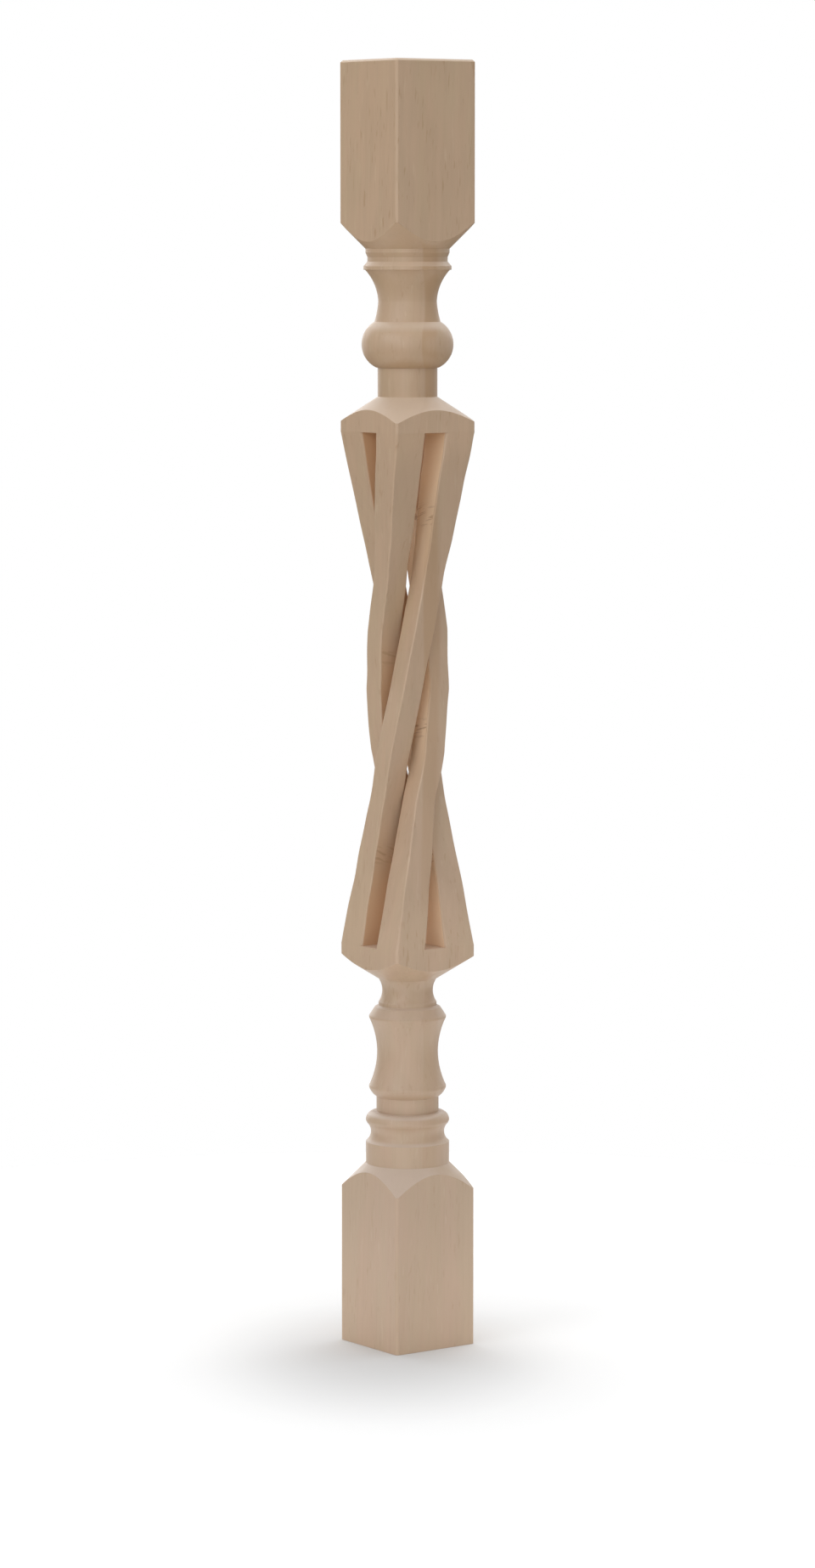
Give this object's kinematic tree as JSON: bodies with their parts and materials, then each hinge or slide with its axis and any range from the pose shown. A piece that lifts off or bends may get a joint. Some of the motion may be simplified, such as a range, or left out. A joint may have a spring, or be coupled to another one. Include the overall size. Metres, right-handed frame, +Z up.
{
  "type": "twist baluster",
  "caption": "Square wooden stair baluster with turned necks, beads and coves above and below an open twist of straight-sided bars, and plain square ends.",
  "frame": {"origin": "centre of the square underside, where it stands on a tread or a base rail", "axes": "+Z up along the length; X and Y square to the flat faces of the square blocks"},
  "size_m": [0.068, 0.068, 0.9],
  "materials": {
    "pale_wood": "matte, sanded and unfinished"
  },
  "bodies": {
    "root": {"baluster": "pale_wood"}
  },
  "joints": []
}
